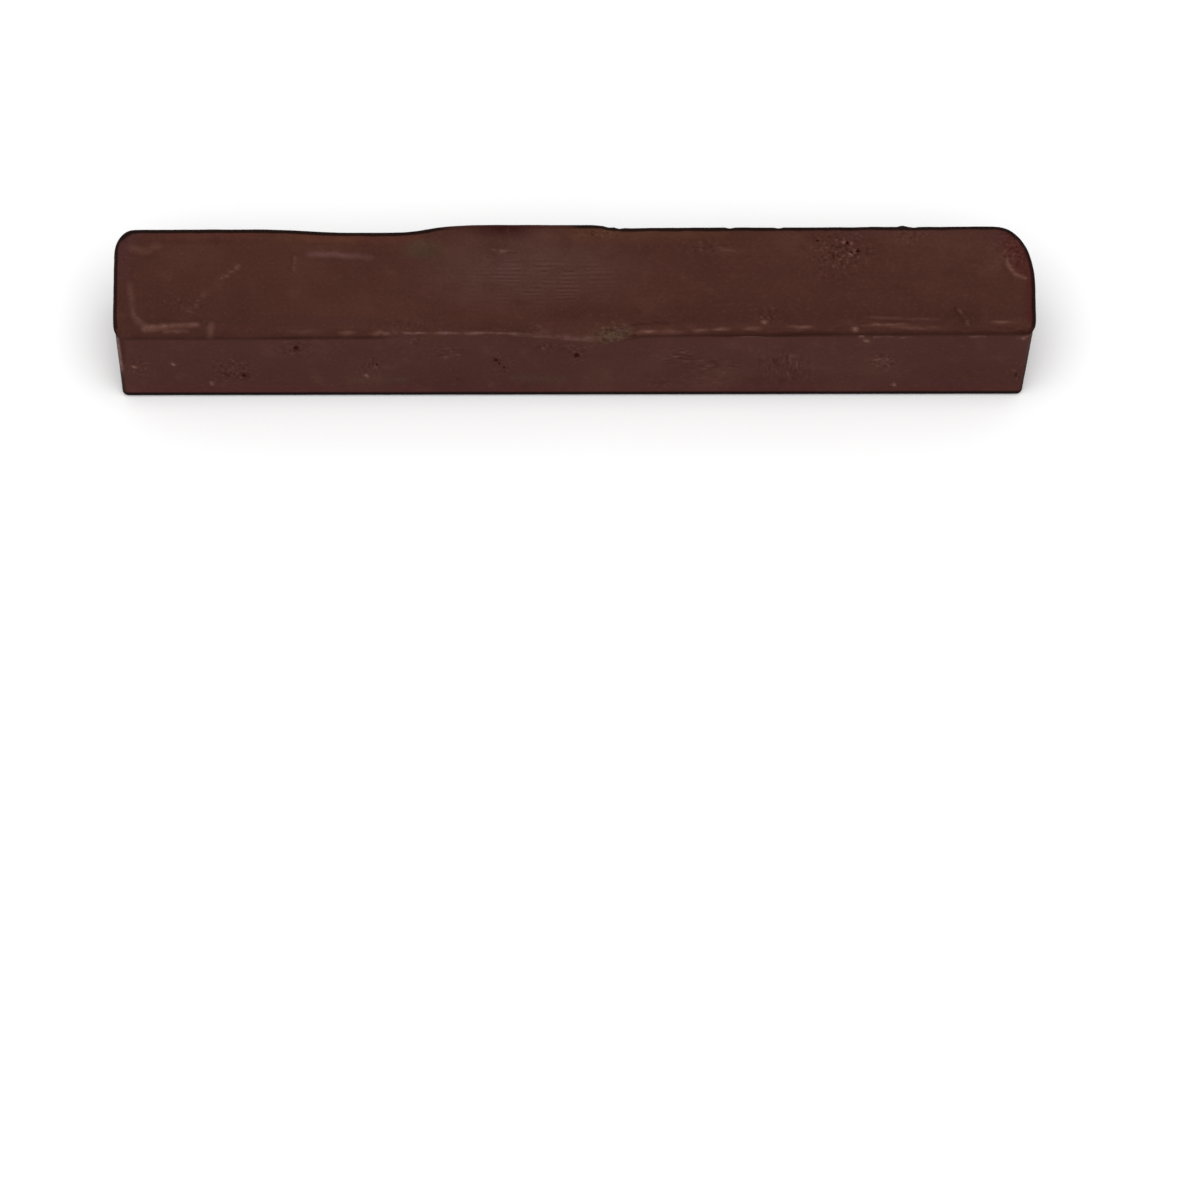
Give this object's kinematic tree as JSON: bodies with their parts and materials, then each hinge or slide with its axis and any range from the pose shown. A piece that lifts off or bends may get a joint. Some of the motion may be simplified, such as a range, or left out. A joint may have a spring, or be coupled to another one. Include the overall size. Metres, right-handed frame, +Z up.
{
  "type": "burn-in stick",
  "caption": "Small dark brown bar of hard filler wax, cast in an open mould, with leaning walls and a rounded poured top, melted to fill dents and scratches in wood.",
  "frame": {"origin": "on the flat floor face, under the middle of the mould's mouth", "axes": "+X along the bar to the picture's right, +Y from the front wall to the back wall, +Z up out of the poured face"},
  "size_m": [0.0822, 0.0128, 0.0099],
  "materials": {
    "filler_wax": "dark red-brown hard wax, satin on the poured face and duller on the faces that touched the mould, with small pits, scratches and pale rubbed edges"
  },
  "bodies": {
    "root": {"burn_in_stick": "filler_wax"}
  },
  "joints": []
}
